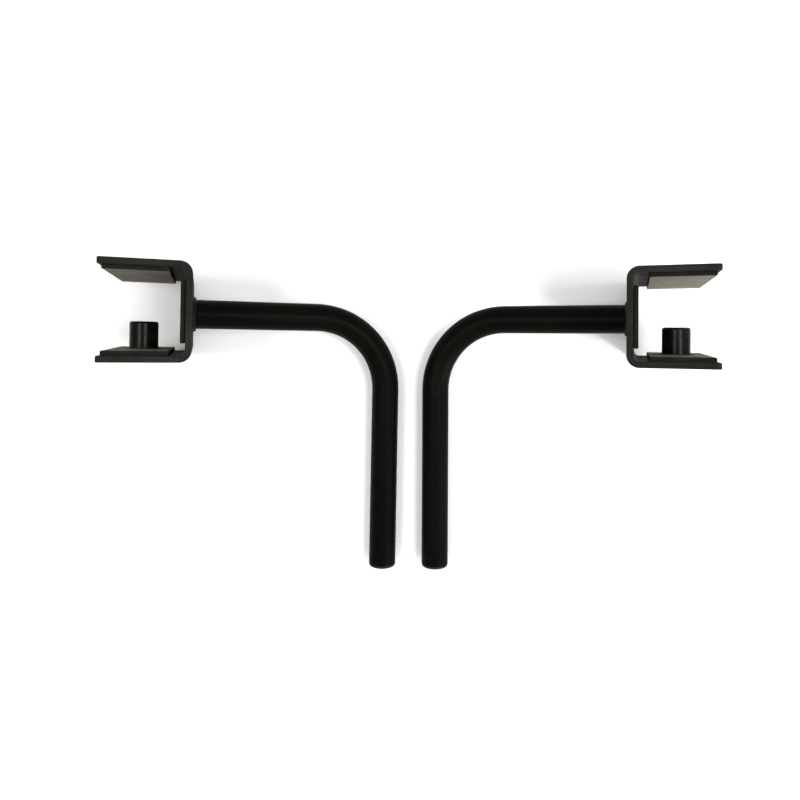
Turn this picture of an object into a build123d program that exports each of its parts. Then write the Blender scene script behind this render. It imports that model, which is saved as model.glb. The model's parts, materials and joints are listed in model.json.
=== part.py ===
from build123d import *
import math
import os

# A pair of ladder stabilizer arms. Each arm is a U-shaped bracket of bent steel
# plate, lined with rubber pads, that slips over a ladder rail. A steel peg inside
# the bracket enters the end of a hollow rung. A round tube is welded to the back
# of the bracket and bends down through a right angle to a plugged free end.
#
# Each piece is drawn in the arm's own frame, in millimetres:
#   +X from the bracket's mouth towards the tube, with X = 0 on the web's outer face
#   +Y from the peg's leg towards the plain leg, with Y = 0 on the tube's axis
#   +Z across the bracket's depth, with Z = 0 on the tube's axis
# The finished arm then lies on the floor, tipped about the web's lower edge until
# the bent-down run of the tube touches the floor as well.

# Bracket
plate = 6.35                     # thickness of the bent plate
bracket_height = 101.6           # over the outer faces of the two legs
bracket_depth = 200.0
leg_length = 87.0                # web's outer face to the tips of the legs
inner_bend = 6.0                 # inside radius of the two press-brake bends
tip_radius = 5.0                 # rounded free corners of the legs
edge_round = 0.8                 # softened plate edges

# Tube
tube_od = 33.4
tube_wall = 2.6
arm_reach = 231.5                # web's outer face to the axis of the bent-down run
arm_drop = 312.0                 # axis of the level run to the end of the plug
bend_radius = 89.0               # on the centre line
tube_weld_leg = 3.5

# Peg
peg_diameter = 30.0
peg_height = 30.0                # above the pad
peg_offset = 51.3                # web's outer face to the peg's axis
peg_top_round = 2.5
shoulder_diameter = 32.0
shoulder_above_pad = 1.5
peg_weld_leg = 2.8

# Pads, each a rubber strip on a sheet of adhesive
adhesive = 0.5
pad_stack = 5.0                  # rubber and adhesive together
leg_pad_setback = 4.4            # from the leg's tip
leg_pad_length = 61.0
web_pad_height = 63.0
pad_front_margin = 3.0
pad_rear_margin = 22.0
pad_edge_round = 0.7
adhesive_inset = 1.0
peg_hole_gap = 0.8               # pad's hole to the peg's weld

# Plug in the tube's free end
plug_head = 3.0
plug_head_inset = 0.3            # the head's radius is this much under the tube's
plug_dome = 1.6
plug_length = 20.0
plug_wall = 1.8
plug_ribs = 3
plug_rib_width = 1.6
plug_rib_pitch = 5.0
plug_clearance = 0.5
rib_clearance = 0.02

# How the pair lies
run_pitch = 62.5                 # between the axes of the two bent-down runs, at the level runs
splay = 0.4                      # degrees that each arm turns out from parallel

tube_r = tube_od / 2
bore_r = tube_r - tube_wall
half_height = bracket_height / 2
half_depth = bracket_depth / 2
leg_inner = half_height - plate              # Y of the legs' inner faces
rubber = pad_stack - adhesive
pad_depth = bracket_depth - pad_front_margin - pad_rear_margin
pad_middle = (pad_rear_margin - pad_front_margin) / 2
leg_pad_middle = -leg_length + leg_pad_setback + leg_pad_length / 2
run_end = arm_drop - plug_head               # end of the tube itself


def resting_tilt():
    """Angle at which the web's lower edge and the tube's run both touch the floor."""
    rise = half_depth - edge_round
    reach = arm_reach + edge_round
    return math.degrees(math.acos((tube_r - edge_round) / math.hypot(rise, reach)) - math.atan2(reach, rise))


tilt = resting_tilt()


# ---------------------------------------------------------------- steel pieces

def u_bracket():
    """Plate bent twice into a U whose mouth faces -X."""
    outer = Pos(-leg_length / 2, 0) * Rectangle(leg_length, bracket_height)
    outer = fillet(outer.vertices().sort_by(Axis.X)[-2:], inner_bend + plate)
    inner = Pos(-(leg_length + plate) / 2, 0) * Rectangle(leg_length - plate, 2 * leg_inner)
    inner = fillet(inner.vertices().sort_by(Axis.X)[-2:], inner_bend)
    bracket = extrude(outer - inner, half_depth, both=True)
    tips = bracket.edges().filter_by(Axis.Y).group_by(Axis.X)[0]
    tips = [edge for edge in tips if abs(abs(edge.center().Z) - half_depth) < edge_round]
    bracket = fillet(tips, tip_radius)
    return fillet(bracket.edges().filter_by(on_plate_outline), edge_round)


def on_plate_outline(edge):
    """True for the plate's long sharp edges: those on its two flat sides and at the legs' tips."""
    middle = edge @ 0.5
    on_side = abs(abs(middle.Z) - half_depth) < edge_round
    at_tip = middle.X < -leg_length + tip_radius
    across_plate = edge.geom_type == GeomType.LINE and abs((edge % 0.5).Y) > 0.9
    return (on_side or at_tip) and not (at_tip and across_plate)


def arm_tube():
    """Round tube: level run, quarter bend, then down to the free end."""
    path = FilletPolyline((0, 0, 0), (arm_reach, 0, 0), (arm_reach, -run_end, 0), radius=bend_radius)
    solid = sweep(Plane.YZ * Circle(tube_r), path)
    bore = sweep(Plane.YZ * Circle(bore_r), path)
    return solid - bore


def ring_weld(radius, leg):
    """Fillet weld around +Z: a triangular ring with one leg on the floor and one on the shaft."""
    section = make_face(Polyline((radius, 0), (radius + leg, 0), (radius, leg), close=True))
    return revolve(Plane.XZ * section, Axis.Z)


def tube_weld_bead():
    """Weld that joins the tube to the web's outer face."""
    return Rot(0, 90, 0) * ring_weld(tube_r, tube_weld_leg)


def on_peg_leg():
    """Frame at the peg's foot on the lower leg's inner face, with +Z up the peg."""
    return Pos(-peg_offset, -leg_inner, 0) * Rot(-90, 0, 0)


def locating_peg():
    """Solid peg on a slightly wider shoulder that stands in the lower pad's hole."""
    shoulder_height = pad_stack + shoulder_above_pad
    total = pad_stack + peg_height
    grounded = (Align.CENTER, Align.CENTER, Align.MIN)
    pin = Cylinder(peg_diameter / 2, total, align=grounded)
    pin = fillet(pin.edges().sort_by(Axis.Z)[-1:], peg_top_round)
    shoulder = Cylinder(shoulder_diameter / 2, shoulder_height, align=grounded)
    return on_peg_leg() * (pin + shoulder)


def peg_weld_bead():
    """Weld around the peg's shoulder, sunk in the lower pad's hole."""
    return on_peg_leg() * ring_weld(shoulder_diameter / 2, peg_weld_leg)


# ---------------------------------------------------------------- rubber pads

def strip(length, width, thickness):
    """Flat strip in the XY plane, on Z = 0, with its upper edges softened when it is thick enough."""
    block = Box(length, width, thickness, align=(Align.CENTER, Align.CENTER, Align.MIN))
    if thickness > 2 * pad_edge_round:
        block = fillet(block.edges().group_by(Axis.Z)[-1], pad_edge_round)
    return block


def peg_opening(extra):
    """Cylinder that clears the peg's weld, used to cut the lower pad and its adhesive."""
    radius = shoulder_diameter / 2 + peg_weld_leg + peg_hole_gap + extra
    return on_peg_leg() * Cylinder(radius, 4 * pad_stack)


def leg_lining(sign, thickness, lift, inset):
    """Sheet on a leg's inner face: sign is +1 on the upper leg and -1 on the peg's leg."""
    sheet = strip(leg_pad_length - 2 * inset, pad_depth - 2 * inset, thickness)
    away_from_leg = Rot(90, 0, 0) if sign > 0 else Rot(-90, 0, 0)
    return Pos(leg_pad_middle, sign * (leg_inner - lift), pad_middle) * away_from_leg * sheet


def web_lining(thickness, lift, inset):
    """Sheet on the web's inner face."""
    sheet = strip(pad_depth - 2 * inset, web_pad_height - 2 * inset, thickness)
    return Pos(-plate - lift, 0, pad_middle) * Rot(0, -90, 0) * sheet


def upper_pad():
    return leg_lining(1, rubber, adhesive, 0)


def upper_pad_adhesive():
    return leg_lining(1, adhesive, 0, adhesive_inset)


def web_pad():
    return web_lining(rubber, adhesive, 0)


def web_pad_adhesive():
    return web_lining(adhesive, 0, adhesive_inset)


def lower_pad():
    return leg_lining(-1, rubber, adhesive, 0) - peg_opening(0)


def lower_pad_adhesive():
    return leg_lining(-1, adhesive, 0, adhesive_inset) - peg_opening(adhesive_inset)


# ---------------------------------------------------------------- tube plug

def tube_end_plug():
    """Plastic plug: a domed head over the tube's end and a ribbed skirt inside it."""
    grounded = (Align.CENTER, Align.CENTER, Align.MIN)
    head = Cylinder(tube_r - plug_head_inset, plug_head, align=grounded)
    head = fillet(head.edges().sort_by(Axis.Z)[-1:], plug_dome)
    hanging = (Align.CENTER, Align.CENTER, Align.MAX)
    skirt_r = bore_r - plug_clearance
    plug = head + Cylinder(skirt_r, plug_length, align=hanging)
    for number in range(1, plug_ribs + 1):
        rib = Cylinder(bore_r - rib_clearance, plug_rib_width)
        plug += Pos(0, 0, -number * plug_rib_pitch) * rib
    plug -= Cylinder(skirt_r - plug_wall, plug_length, align=hanging)
    return Pos(arm_reach, -run_end, 0) * Rot(90, 0, 0) * plug


# ---------------------------------------------------------------- the lying pair

def lying_left():
    """Carries the arm's own frame to where the left arm lies, before the pair is centred."""
    rise = edge_round + (half_depth - edge_round) * math.cos(math.radians(tilt))
    rise -= edge_round * math.sin(math.radians(tilt))
    along = arm_reach * math.cos(math.radians(tilt))
    return Pos(-run_pitch / 2, 0, 0) * Rot(0, 0, -splay) * Pos(-along, 0, rise) * Rot(0, tilt, 0)


pieces = {
    "u_bracket": u_bracket,
    "arm_tube": arm_tube,
    "tube_weld_bead": tube_weld_bead,
    "locating_peg": locating_peg,
    "peg_weld_bead": peg_weld_bead,
    "upper_pad": upper_pad,
    "upper_pad_adhesive": upper_pad_adhesive,
    "web_pad": web_pad,
    "web_pad_adhesive": web_pad_adhesive,
    "lower_pad": lower_pad,
    "lower_pad_adhesive": lower_pad_adhesive,
    "tube_end_plug": tube_end_plug,
}


def middle_of(shapes):
    """Middle of the left arm's box along Y. The mirrored arm shares it."""
    boxes = [shape.bounding_box() for shape in shapes]
    return (min(box.min.Y for box in boxes) + max(box.max.Y for box in boxes)) / 2


left = {name: lying_left() * build() for name, build in pieces.items()}
centring = Pos(0, -middle_of(left.values()), 0)
left = {name: centring * shape for name, shape in left.items()}

os.makedirs("parts", exist_ok=True)
for name, shape in left.items():
    export_step(shape, f"parts/left_{name}.step")
    export_step(mirror(shape, about=Plane.YZ), f"parts/right_{name}.step")
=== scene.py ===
import json
import math

import bmesh
import bpy
from mathutils import Matrix, Vector, noise


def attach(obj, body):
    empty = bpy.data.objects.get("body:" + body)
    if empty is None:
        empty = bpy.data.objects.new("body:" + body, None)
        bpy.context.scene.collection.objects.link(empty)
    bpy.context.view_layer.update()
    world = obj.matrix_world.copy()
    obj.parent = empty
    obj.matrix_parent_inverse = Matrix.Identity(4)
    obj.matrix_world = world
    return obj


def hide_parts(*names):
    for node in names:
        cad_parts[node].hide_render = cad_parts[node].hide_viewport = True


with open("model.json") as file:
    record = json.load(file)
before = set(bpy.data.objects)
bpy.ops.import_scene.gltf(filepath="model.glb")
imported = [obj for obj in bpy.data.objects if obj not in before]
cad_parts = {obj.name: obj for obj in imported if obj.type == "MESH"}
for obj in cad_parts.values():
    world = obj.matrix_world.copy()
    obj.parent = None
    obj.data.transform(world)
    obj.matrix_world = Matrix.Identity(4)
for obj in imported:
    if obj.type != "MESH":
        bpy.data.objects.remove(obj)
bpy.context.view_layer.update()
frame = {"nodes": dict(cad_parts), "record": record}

# A pair of ladder stabilizer arms that lies on a pale floor. Lengths are in metres.
# The steel pieces, the plugs and the sheets of adhesive are the CAD's own, with materials.
# The rubber pads and the weld beads are made here in their place.
MM = 0.001
SIDES = ("left", "right")
MOUNTS = {mount["name"]: mount for mount in frame["record"]["mounts"]}


# ------------------------------------------------------------ the arms' frames

def arm_frame(side):
    """Matrix from an arm's own frame to the row frame. The origin is on the web pad's contact face.

    X runs from the bracket's mouth towards the tube, Y up the peg, and Z across the bracket's
    depth. The right arm's frame is the mirror image of the left arm's.
    """
    web_face = MOUNTS[f"{side}_web_pad_face"]
    x_axis = -Vector(web_face["axis"])
    y_axis = Vector(MOUNTS[f"{side}_peg"]["axis"])
    z_axis = x_axis.cross(y_axis)
    if z_axis.z < 0:
        z_axis.negate()
    axes = Matrix((x_axis, y_axis, z_axis)).transposed().to_4x4()
    return Matrix.Translation(web_face["pos_m"]) @ axes


ARMS = {side: arm_frame(side) for side in SIDES}


def local_box(side, part):
    """Lowest and highest corner of a CAD node in its arm's own frame."""
    into_arm = ARMS[side].inverted()
    points = [into_arm @ vertex.co for vertex in frame["nodes"][f"{side}_{part}"].data.vertices]
    low = Vector([min(point[axis] for point in points) for axis in range(3)])
    high = Vector([max(point[axis] for point in points) for axis in range(3)])
    return low, high


def axes_facing(normal):
    """Rotation that carries +Z to an arm's axis, and +Y as near as it can to the arm's +Z."""
    z_axis = Vector(normal)
    y_axis = Vector((0, 0, 1))
    x_axis = y_axis.cross(z_axis)
    return Matrix((x_axis, y_axis, z_axis)).transposed().to_4x4()


# ------------------------------------------------------------ materials

FLAT_GROUND = 0.98               # ground is flat where the cosine of the rounded normal's turn is above this
SHARP_EDGE = 0.75                # and an edge where it is below this
BEVEL_SAMPLES = 6


class Surface:
    """A node material being built, with short calls for the nodes that the recipes share."""

    def __init__(self, name, roughness_range, base, specular):
        self.material = bpy.data.materials.new(name)
        self.material.use_nodes = True
        self.tree = self.material.node_tree
        self.shader = self.tree.nodes["Principled BSDF"]
        self.shader.inputs["Specular IOR Level"].default_value = specular
        self.position = self.add("ShaderNodeTexCoord").outputs["Object"]
        self.colour = None
        self.normal = None
        self.base = base
        self.roughness_range = roughness_range

    def add(self, kind, **settings):
        """A new node of a kind, with its own settings such as its operation."""
        node = self.tree.nodes.new(kind)
        for key, value in settings.items():
            setattr(node, key, value)
        return node

    def link(self, output, node, socket):
        """Joins an output to a node's input socket."""
        self.tree.links.new(output, node.inputs[socket])

    def stretched(self, scale):
        """The object's coordinates, each multiplied by its own factor."""
        mapping = self.add("ShaderNodeMapping")
        self.link(self.position, mapping, "Vector")
        mapping.inputs["Scale"].default_value = scale
        return mapping.outputs["Vector"]

    def noise(self, scale, detail=3.0, vector=None, roughness=0.55):
        """Cloudy noise, about 0.5 on average, with a scale in features per metre."""
        node = self.add("ShaderNodeTexNoise")
        self.link(vector or self.position, node, "Vector")
        node.inputs["Scale"].default_value = scale
        node.inputs["Detail"].default_value = detail
        node.inputs["Roughness"].default_value = roughness
        return node.outputs["Fac"]

    def cells(self, scale):
        """Distance to the nearest point of a scattered set: small spots where it is low."""
        node = self.add("ShaderNodeTexVoronoi")
        self.link(self.position, node, "Vector")
        node.inputs["Scale"].default_value = scale
        return node.outputs["Distance"]

    def spread(self, value, low, high, least=0.0, most=1.0):
        """Maps a value's range from low to high onto the range from least to most, clamped."""
        node = self.add("ShaderNodeMapRange")
        self.link(value, node, "Value")
        ends = {"From Min": low, "From Max": high, "To Min": least, "To Max": most}
        for socket, number in ends.items():
            node.inputs[socket].default_value = number
        return node.outputs["Result"]

    def times(self, first, second):
        """The product of two values."""
        node = self.add("ShaderNodeMath", operation="MULTIPLY")
        self.link(first, node, 0)
        self.link(second, node, 1)
        return node.outputs["Value"]

    def tint(self, amount, colour):
        """Mixes a colour over what the surface has so far, by an amount that varies over it."""
        node = self.add("ShaderNodeMix", data_type="RGBA")
        self.link(amount, node, "Factor")
        if self.colour is None:
            node.inputs["A"].default_value = (*self.base, 1)
        else:
            self.link(self.colour, node, "A")
        node.inputs["B"].default_value = (*colour, 1)
        self.colour = node.outputs["Result"]

    def edges(self, radius):
        """1 along sharp edges and 0 on flat ground, from how far a rounded normal turns away."""
        bevel = self.add("ShaderNodeBevel", samples=BEVEL_SAMPLES)
        bevel.inputs["Radius"].default_value = radius
        geometry = self.add("ShaderNodeNewGeometry")
        dot = self.add("ShaderNodeVectorMath", operation="DOT_PRODUCT")
        self.link(bevel.outputs["Normal"], dot, 0)
        self.link(geometry.outputs["Normal"], dot, 1)
        return self.spread(dot.outputs["Value"], FLAT_GROUND, SHARP_EDGE)

    def bump(self, height, distance, strength):
        """Adds relief of a given depth in metres to what the surface has so far."""
        node = self.add("ShaderNodeBump")
        node.inputs["Distance"].default_value = distance
        node.inputs["Strength"].default_value = strength
        self.link(height, node, "Height")
        if self.normal is not None:
            self.link(self.normal, node, "Normal")
        self.normal = node.outputs["Normal"]

    def rough(self, value):
        """Roughness over the surface's own range, from a value between 0 and 1."""
        self.link(self.spread(value, 0.25, 0.75, *self.roughness_range), self.shader, "Roughness")

    def done(self):
        """Joins the finished colour and relief to the shader and gives the material."""
        self.link(self.colour, self.shader, "Base Color")
        self.link(self.normal, self.shader, "Normal")
        return self.material


def powder_coat(name, base, roughness_range, specular):
    """Satin black powder coat: orange peel, fine grit, dull patches, and thinner paint on the edges."""
    patch = [channel * 1.9 for channel in base]
    mottle = [channel * 0.5 for channel in base]
    dust = [0.005 + channel * 2.5 for channel in base]
    bare = (0.08, 0.078, 0.07)
    coat = Surface(name, roughness_range, base, specular)
    patches = coat.noise(14, detail=4)
    coat.tint(coat.spread(patches, 0.4, 0.7, most=0.6), patch)
    coat.tint(coat.spread(coat.noise(75, detail=4), 0.42, 0.62, most=0.3), mottle)
    specks = coat.times(coat.spread(coat.noise(420, detail=2), 0.62, 0.75), coat.spread(patches, 0.35, 0.65))
    coat.tint(coat.spread(specks, 0, 1, most=0.5), dust)
    worn = coat.times(coat.edges(1.2 * MM), coat.spread(coat.noise(90, detail=5), 0.42, 0.62))
    coat.tint(coat.spread(worn, 0, 1, most=0.25), bare)
    coat.rough(coat.noise(38, detail=5))
    coat.bump(coat.noise(520, detail=1.5), 0.05 * MM, 0.8)
    coat.bump(coat.noise(2600, detail=2), 0.015 * MM, 0.7)
    return coat.done()


def turned_coat(name):
    """Black finish over a turned peg: fine rings round it, and rubbed marks where it enters a rung."""
    dull = (0.009, 0.009, 0.008)
    scuff = (0.06, 0.058, 0.052)
    rubbed = (0.09, 0.088, 0.08)
    coat = Surface(name, (0.24, 0.34), (0.0014, 0.0015, 0.0010), specular=0.070)
    coat.tint(coat.spread(coat.noise(60, detail=4), 0.45, 0.7, most=0.5), dull)
    worn = coat.times(coat.edges(1.5 * MM), coat.spread(coat.noise(160, detail=4), 0.45, 0.6))
    coat.tint(coat.spread(worn, 0, 1, most=0.3), rubbed)
    scuffs = coat.noise(1.0, detail=4, vector=coat.stretched((260, 35, 260)))
    coat.tint(coat.spread(scuffs, 0.6, 0.78, most=0.15), scuff)
    coat.rough(coat.noise(110, detail=4))
    coat.bump(coat.noise(1.0, detail=1, vector=coat.stretched((25, 2400, 25))), 0.012 * MM, 0.8)
    coat.bump(coat.noise(900, detail=2), 0.02 * MM, 0.6)
    return coat.done()


def cut_rubber(name):
    """The knife-cut sides of a rubber pad: black, dull and faintly ribbed by the blade."""
    dusty = (0.0095, 0.0090, 0.0069)
    rubber = Surface(name, (0.62, 0.82), (0.0038, 0.0036, 0.0026), specular=0.10)
    rubber.tint(rubber.spread(rubber.noise(70, detail=4), 0.4, 0.7, most=0.7), dusty)
    rubber.rough(rubber.noise(150))
    rubber.bump(rubber.noise(1.0, detail=2, vector=rubber.stretched((1500, 300, 300))), 0.06 * MM, 0.6)
    rubber.bump(rubber.noise(1800, detail=2), 0.03 * MM, 0.6)
    return rubber.done()


def pad_face(name):
    """The gripping face of a pad: buffed rubber, grey-beige, bloomed and dusty, mottled and pitted. Its pale
    colours are partly painted sheen, the face's grazing reflection of the pale floor put into the colour.
    """
    # Pale tints: partly dust and bloom, partly painted sheen where the face reflects the pale floor.
    bloom_and_sheen = (0.148, 0.127, 0.099)
    bare = (0.054, 0.047, 0.037)
    dust = (0.18, 0.157, 0.123)
    pit = (0.05, 0.044, 0.038)
    # A pale base colour, partly painted sheen.
    rubber = Surface(name, (0.66, 0.88), (0.098, 0.084, 0.062), specular=0.2)
    rubber.tint(rubber.spread(rubber.noise(45, detail=6, roughness=0.65), 0.4, 0.68), bloom_and_sheen)
    rubber.tint(rubber.spread(rubber.noise(160, detail=5, roughness=0.7), 0.5, 0.72, most=0.75), bare)
    streaks = rubber.noise(1.0, detail=4, vector=rubber.stretched((70, 300, 300)))
    rubber.tint(rubber.spread(streaks, 0.55, 0.75, most=0.5), dust)
    pits = rubber.cells(650)
    rubber.tint(rubber.spread(pits, 0.22, 0.1, most=0.8), pit)
    rubber.rough(rubber.noise(220, detail=4))
    rubber.bump(pits, 0.10 * MM, 0.7)
    rubber.bump(rubber.noise(900, detail=4), 0.08 * MM, 0.8)
    return rubber.done()


def foam_adhesive(name):
    """Thin black foam tape, seen edge on: tiny cells."""
    cell_wall = (0.03, 0.03, 0.03)
    foam = Surface(name, (0.8, 0.95), (0.012, 0.012, 0.012), specular=0.25)
    cells = foam.cells(1600)
    foam.tint(foam.spread(cells, 0.15, 0.45, most=0.8), cell_wall)
    foam.rough(foam.noise(300))
    foam.bump(cells, 0.08 * MM, 0.7)
    return foam.done()


def moulded_plastic(name):
    """Black moulded plastic: a spark-eroded grain, and scuffs on the proud edge."""
    dull = (0.012, 0.012, 0.011)
    scuff = (0.09, 0.088, 0.082)
    plastic = Surface(name, (0.42, 0.6), (0.005, 0.005, 0.0045), specular=0.25)
    plastic.tint(plastic.spread(plastic.noise(120, detail=4), 0.45, 0.7, most=0.6), dull)
    worn = plastic.times(plastic.edges(0.8 * MM), plastic.spread(plastic.noise(240, detail=4), 0.4, 0.6))
    plastic.tint(plastic.spread(worn, 0, 1, most=0.5), scuff)
    plastic.rough(plastic.noise(260, detail=4))
    plastic.bump(plastic.cells(1400), 0.03 * MM, 0.6)
    return plastic.done()


def floor_paper(name):
    """Plain pale studio floor with the faintest cloudiness."""
    cloud = (0.885, 0.885, 0.88)
    paper = Surface(name, (0.85, 0.95), (0.86, 0.86, 0.855), specular=0.1)
    paper.tint(paper.spread(paper.noise(1.6, detail=3), 0.35, 0.7), cloud)
    paper.rough(paper.noise(3))
    paper.bump(paper.noise(900, detail=2), 0.02 * MM, 0.3)
    return paper.done()


# ------------------------------------------------------------ meshes

def mesh_piece(side, name, points, faces, face_materials, materials):
    """A closed, smooth-shaded piece on one arm, from points in the arm's own frame."""
    mesh = bpy.data.meshes.new(f"{side}_{name}")
    mesh.from_pydata([ARMS[side] @ point for point in points], [], faces)
    for material in materials:
        mesh.materials.append(material)
    for polygon, index in zip(mesh.polygons, face_materials):
        polygon.material_index = index
        polygon.use_smooth = True
    shape = bmesh.new()
    shape.from_mesh(mesh)
    bmesh.ops.recalc_face_normals(shape, faces=shape.faces)
    shape.to_mesh(mesh)
    shape.free()
    piece = bpy.data.objects.new(f"{side}_{name}", mesh)
    bpy.context.scene.collection.objects.link(piece)
    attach(piece, f"{side}_arm")
    return piece


def join_rings(count, rings, closed_round):
    """Quads between neighbouring rings of points, and from the last ring to the first if closed."""
    faces = []
    for ring in range(rings if closed_round else rings - 1):
        here, there = ring * count, (ring + 1) % rings * count
        for step in range(count):
            after = (step + 1) % count
            faces.append((here + step, here + after, there + after, there + step))
    return faces


SEED_STEPS = (7.31, 3.17, 5.03)  # how far apart in the noise two neighbouring seeds look


def wobble(point, period, seed):
    """Smooth noise between about -1 and 1, with a period in the point's own unit."""
    return noise.noise(point / period + Vector([seed * step for step in SEED_STEPS]))


# ------------------------------------------------------------ rubber pads

PAD_CORNER = 1.2 * MM            # the pad's cut corners, in plan
PAD_EDGE = 0.6 * MM              # the rounding of its upper edges
PAD_BULGE = 0.12 * MM            # how far its cut sides stand out above their foot
PAD_SIDE = ((0.0, 0.0), (1.0, 0.25), (1.4, 0.5), (1.0, 0.75))    # shares of the bulge and of the height
PAD_STEP = 2.5 * MM              # spacing of the points round it
ARC_STEPS = 4                    # along each rounded corner and each rounded edge
CUT_WANDER = 0.25 * MM           # how far the knife strayed
CUT_PERIOD = 22 * MM
FACE_WAVE = 0.14 * MM            # how far the face is from flat
FACE_PERIOD = 13 * MM
FACE_RINGS = 22
PEG_HOLE_GAP = 0.8 * MM          # from the pad's hole to the peg's weld
SIDE_SLOT = 0
FACE_SLOT = 1


def rounded_rectangle(half_x, half_y):
    """Points and outward directions round a rectangle with small rounded corners."""
    outline = []
    corners = ((1, 1), (-1, 1), (-1, -1), (1, -1))
    for turn, (sign_x, sign_y) in enumerate(corners):
        centre = Vector((sign_x * (half_x - PAD_CORNER), sign_y * (half_y - PAD_CORNER), 0))
        for step in range(ARC_STEPS + 1):
            angle = math.pi / 2 * (turn + step / ARC_STEPS)
            outward = Vector((math.cos(angle), math.sin(angle), 0))
            outline.append((centre + outward * PAD_CORNER, outward))
        side = 2 * (half_y if turn % 2 else half_x) - 2 * PAD_CORNER
        start = outline[-1][0]
        along = Vector((-outward.y, outward.x, 0))
        steps = max(2, round(side / PAD_STEP))
        for step in range(1, steps):
            outline.append((start + along * side * step / steps, outward))
    return outline


def pad_levels(thickness, bulge):
    """Inset and height of each ring up a pad's side and over its rounded edge."""
    levels = [(-bulge * out, thickness * up) for out, up in PAD_SIDE]
    for step in range(ARC_STEPS + 1):
        angle = math.pi / 2 * step / ARC_STEPS
        levels.append((PAD_EDGE * (1 - math.cos(angle)), thickness - PAD_EDGE * (1 - math.sin(angle))))
    return levels


def peg_hole(side, part, place):
    """Centre and radius of a pad's hole in the pad's own frame. The radius is 0 where there is no hole."""
    if part != "lower_pad":
        return Vector((0, 0, 0)), 0.0
    bead_low, bead_high = local_box(side, "peg_weld_bead")
    centre = place.inverted() @ ((bead_low + bead_high) / 2)
    centre.z = 0
    return centre, (bead_high.x - bead_low.x) / 2 + PEG_HOLE_GAP


def cut_side_rings(outline, thickness, seed):
    """Rings up a pad's cut sides, which wander as the knife did, and over its rounded upper edge."""
    rings = []
    for inset, height in pad_levels(thickness, PAD_BULGE):
        ring = []
        for point, outward in outline:
            stray = CUT_WANDER * wobble(point, CUT_PERIOD, seed)
            ring.append(point - outward * (inset - stray) + Vector((0, 0, height)))
        rings.append(ring)
    return rings


def face_rings(edge, inner, thickness, seed):
    """Rings over a pad's slightly wavy face, from its edge to its hole or middle."""
    rings = []
    for step in range(1, FACE_RINGS + 1):
        share = step / FACE_RINGS
        ring = []
        for start, stop in zip(edge, inner):
            level = start.lerp(Vector((stop.x, stop.y, thickness)), share)
            wave = math.sin(math.pi * share) * wobble(start.lerp(stop, share), FACE_PERIOD, seed)
            ring.append(level + Vector((0, 0, FACE_WAVE * wave)))
        rings.append(ring)
    return rings


def hole_rings(centre, directions, radius, thickness):
    """Rings over a hole's rounded edge and down to the pad's underside.

    The highest level is left out, because the face already ends there.
    """
    rings = []
    for inset, height in reversed(pad_levels(thickness, 0)[:-1]):
        rings.append([centre + way * (radius + inset) + Vector((0, 0, height)) for way in directions])
    return rings


def rubber_pad(side, part, normal, materials, seed):
    """A cut rubber strip on an inner face of the bracket, with a round hole if the peg comes through it.

    The rings of points go up the pad's side and over its face. With a hole they go on down its
    side and join the first ring underneath. Without one the face and the underside are closed.
    """
    low, high = local_box(side, part)
    turn = axes_facing(normal)
    half = (turn.to_3x3().inverted() @ (high - low)) / 2
    half = Vector([abs(value) for value in half])
    thickness = 2 * half.z
    place = Matrix.Translation((low + high) / 2) @ turn @ Matrix.Translation((0, 0, -half.z))
    hole_centre, hole_radius = peg_hole(side, part, place)
    outline = rounded_rectangle(half.x, half.y)
    count = len(outline)
    toward = [(point - hole_centre).normalized() for point, _ in outline]
    inner = [hole_centre + direction * (hole_radius + PAD_EDGE) for direction in toward]

    rings = cut_side_rings(outline, thickness, seed)
    face_start = len(rings) - 1
    rings += face_rings(rings[-1], inner, thickness, seed)
    face_end = len(rings) - 1
    if hole_radius:
        rings += hole_rings(hole_centre, toward, hole_radius, thickness)
    points = [place @ point for ring in rings for point in ring]
    faces = join_rings(count, len(rings), closed_round=bool(hole_radius))
    if not hole_radius:
        middle = len(points)
        points.append(place @ (hole_centre + Vector((0, 0, thickness))))
        last = (len(rings) - 1) * count
        faces += [(last + step, last + (step + 1) % count, middle) for step in range(count)]
        faces.append(tuple(range(count)))

    on_face = range(face_start * count, face_end * count)
    slots = [SIDE_SLOT] * len(faces)
    for index, face in enumerate(faces):
        if index in on_face or len(face) == 3:
            slots[index] = FACE_SLOT
    piece = mesh_piece(side, f"{part}_rubber", points, faces, slots, materials)
    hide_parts(f"{side}_{part}")
    return piece


# ------------------------------------------------------------ weld beads

BEAD_SUNK = 0.25 * MM            # how far the bead reaches into the pieces that it joins
BEAD_ROWS = 9                    # points across the bead's slope
RIPPLE_STEPS = 9                 # points along each ripple
RIPPLE_LEAN = 0.45               # how far the crescents' middles lag, in ripples
RIPPLE_SHAPE = 2.2               # more than 1: a flat crest and narrow valleys
BELLY = 0.10                     # outward bulge of the slope, as a share of the weld's leg
BELLY_RIPPLE = 0.13              # what the crest of a ripple adds to it
REACH_RIPPLE = 0.06              # how much shorter the leg is between ripples
UNEVENNESS = 0.10                # slow change of size round the bead
UNEVEN_PERIOD = 0.45


def bead_ring(outward, ripple, radius, leg):
    """Points across a bead at one place round it: the sunk foot, then up its slope."""
    ring = [outward * (radius - BEAD_SUNK) + Vector((0, 0, -BEAD_SUNK))]
    for row in range(BEAD_ROWS):
        share = row / (BEAD_ROWS - 1)
        crescent = ripple + RIPPLE_LEAN * math.sin(math.pi * share)
        ridge = 1 - abs(2 * (crescent % 1) - 1) ** RIPPLE_SHAPE
        belly = math.sin(math.pi * share) * (BELLY + BELLY_RIPPLE * ridge)
        reach = leg * (1 - REACH_RIPPLE + REACH_RIPPLE * ridge)
        across_leg = reach * (1 - share + belly) - (BEAD_SUNK if row == BEAD_ROWS - 1 else 0)
        up_leg = reach * (share + belly) - (BEAD_SUNK if row == 0 else 0)
        ring.append(outward * (radius + across_leg) + Vector((0, 0, up_leg)))
    return ring


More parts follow.
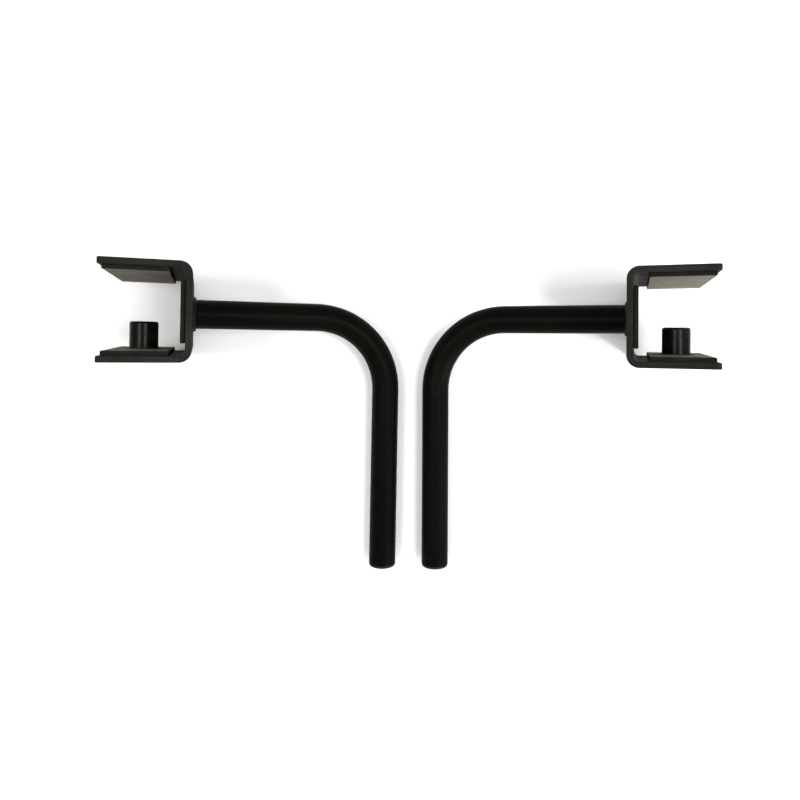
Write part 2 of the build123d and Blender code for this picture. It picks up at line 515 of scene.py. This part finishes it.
def weld_bead(side, part, along, material, ripples, seed):
    """A rippled fillet weld round a tube or peg: overlapping crescents, uneven in size."""
    low, high = local_box(side, part)
    turn = axes_facing(along)
    size = turn.to_3x3().inverted() @ (high - low)
    leg = abs(size.z)
    radius = abs(size.x) / 2 - leg
    place = Matrix.Translation((low + high) / 2) @ turn @ Matrix.Translation((0, 0, -leg / 2))
    steps = ripples * RIPPLE_STEPS
    points = []
    for step in range(steps):
        angle = 2 * math.pi * step / steps
        outward = Vector((math.cos(angle), math.sin(angle), 0))
        uneven = 1 + UNEVENNESS * wobble(outward, UNEVEN_PERIOD, seed)
        ring = bead_ring(outward, step / RIPPLE_STEPS, radius, leg * uneven)
        points += [place @ point for point in ring]
    faces = join_rings(BEAD_ROWS + 1, steps, closed_round=True)
    piece = mesh_piece(side, f"{part}_rippled", points, faces, [0] * len(faces), [material])
    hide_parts(f"{side}_{part}")
    return piece


# ------------------------------------------------------------ the stage

FLOOR_REACH = 30.0
WINDOW_WIDTH = 45                # degrees that the sun's disc spans
CAMERA_PLACE = (0.0083, 0.1115, 0.8045)
CAMERA_TURN = 0.66               # degrees about the line of sight
CAMERA_SHIFT = (-0.0219, -0.0827)
SENSOR_WIDTH = 36                # millimetres, as for the lens
LENS = 27.86


def studio_floor(material):
    """A flat floor that reaches out of sight on all sides."""
    mesh = bpy.data.meshes.new("floor")
    corners = [(x * FLOOR_REACH, y * FLOOR_REACH, 0) for x, y in ((-1, -1), (1, -1), (1, 1), (-1, 1))]
    mesh.from_pydata(corners, [], [(0, 1, 2, 3)])
    mesh.materials.append(material)
    floor = bpy.data.objects.new("floor", mesh)
    bpy.context.scene.collection.objects.link(floor)


def soft_light(name, place, target, size, power, spread=180):
    """A square area light aimed at a point, itself unseen. A spread below 180 degrees narrows its beam."""
    lamp = bpy.data.lights.new(name, "AREA")
    lamp.size = size
    lamp.energy = power
    lamp.spread = math.radians(spread)
    light = bpy.data.objects.new(name, lamp)
    light.visible_camera = False
    light.location = place
    light.rotation_euler = (Vector(target) - Vector(place)).to_track_quat("-Z", "Y").to_euler()
    bpy.context.scene.collection.objects.link(light)


def broad_sun(name, toward, strength):
    """Light from one side that is as even over the floor as through a wide window."""
    lamp = bpy.data.lights.new(name, "SUN")
    lamp.angle = math.radians(WINDOW_WIDTH)
    lamp.energy = strength
    light = bpy.data.objects.new(name, lamp)
    light.rotation_euler = Vector(toward).to_track_quat("Z", "Y").to_euler()
    bpy.context.scene.collection.objects.link(light)


def pale_world(strength):
    """Even, faintly warm light from all round."""
    world = bpy.data.worlds.new("room")
    world.use_nodes = True
    background = world.node_tree.nodes["Background"]
    background.inputs["Color"].default_value = (1.0, 0.995, 0.98, 1)
    background.inputs["Strength"].default_value = strength
    bpy.context.scene.world = world


def overhead_camera():
    """Looks straight down, turned by under a degree, with the pair a little above the picture's middle."""
    lens = bpy.data.cameras.new("camera")
    lens.sensor_width = SENSOR_WIDTH
    lens.lens = LENS
    lens.shift_x, lens.shift_y = CAMERA_SHIFT
    camera = bpy.data.objects.new("camera", lens)
    camera.location = CAMERA_PLACE
    camera.rotation_euler = (0, 0, math.radians(CAMERA_TURN))
    bpy.context.scene.collection.objects.link(camera)
    bpy.context.scene.camera = camera


# ------------------------------------------------------------ the object

# One powder coat, tuned apart for flat plate, round tube and rippled weld. The bracket's copy is lighter and
# nearly without gloss: its lighter colour is partly a greyer finish and partly painted sheen, standing in
# for the reflections on the plates.
bracket_coat = powder_coat("bracket_coat", (0.0132, 0.0132, 0.0114), (0.44, 0.58), specular=0.006)
tube_coat = powder_coat("tube_coat", (0.0018, 0.0019, 0.0013), (0.34, 0.47), specular=0.023)
weld_coat = powder_coat("weld_coat", (0.0038, 0.0038, 0.0028), (0.30, 0.42), specular=0.06)
peg_finish = turned_coat("turned_peg")
pad_sides = cut_rubber("cut_rubber")
grip = pad_face("pad_face")
foam = foam_adhesive("foam_adhesive")
plastic = moulded_plastic("moulded_plastic")

NODE_MATERIALS = {
    "u_bracket": bracket_coat,
    "arm_tube": tube_coat,
    "locating_peg": peg_finish,
    "upper_pad_adhesive": foam,
    "web_pad_adhesive": foam,
    "lower_pad_adhesive": foam,
    "tube_end_plug": plastic,
}
PADS = {"upper_pad": (0, -1, 0), "lower_pad": (0, 1, 0), "web_pad": (-1, 0, 0)}      # the way each faces
UP_THE_TUBE = (1, 0, 0)
UP_THE_PEG = (0, 1, 0)

# The seeds differ between the two arms, so their pads and welds don't wander alike.
for side in SIDES:
    for part, material in NODE_MATERIALS.items():
        node = frame["nodes"][f"{side}_{part}"]
        node.data.materials.clear()
        node.data.materials.append(material)
    for part, normal in PADS.items():
        rubber_pad(side, part, normal, [pad_sides, grip], seed=len(side) + len(part))
    weld_bead(side, "tube_weld_bead", UP_THE_TUBE, weld_coat, ripples=34, seed=len(side))
    weld_bead(side, "peg_weld_bead", UP_THE_PEG, weld_coat, ripples=36, seed=len(side) + 3)

overhead_camera()
studio_floor(floor_paper("floor_paper"))
pale_world(0.8)
broad_sun("window", toward=(0.76, -0.45, 0.46), strength=1.4)
soft_light("ceiling_right", (0.62, 0.12, 1.5), (0.1, 0.0, 0.0), size=0.35, power=11)
soft_light("ceiling_left", (-0.62, 0.12, 1.5), (-0.1, 0.0, 0.0), size=0.35, power=9)
soft_light("mouth_right", (0.95, -0.35, 0.35), (0.34, 0.14, 0.1), size=0.25, power=0.55, spread=36)
bpy.context.scene.view_settings.view_transform = "Standard"
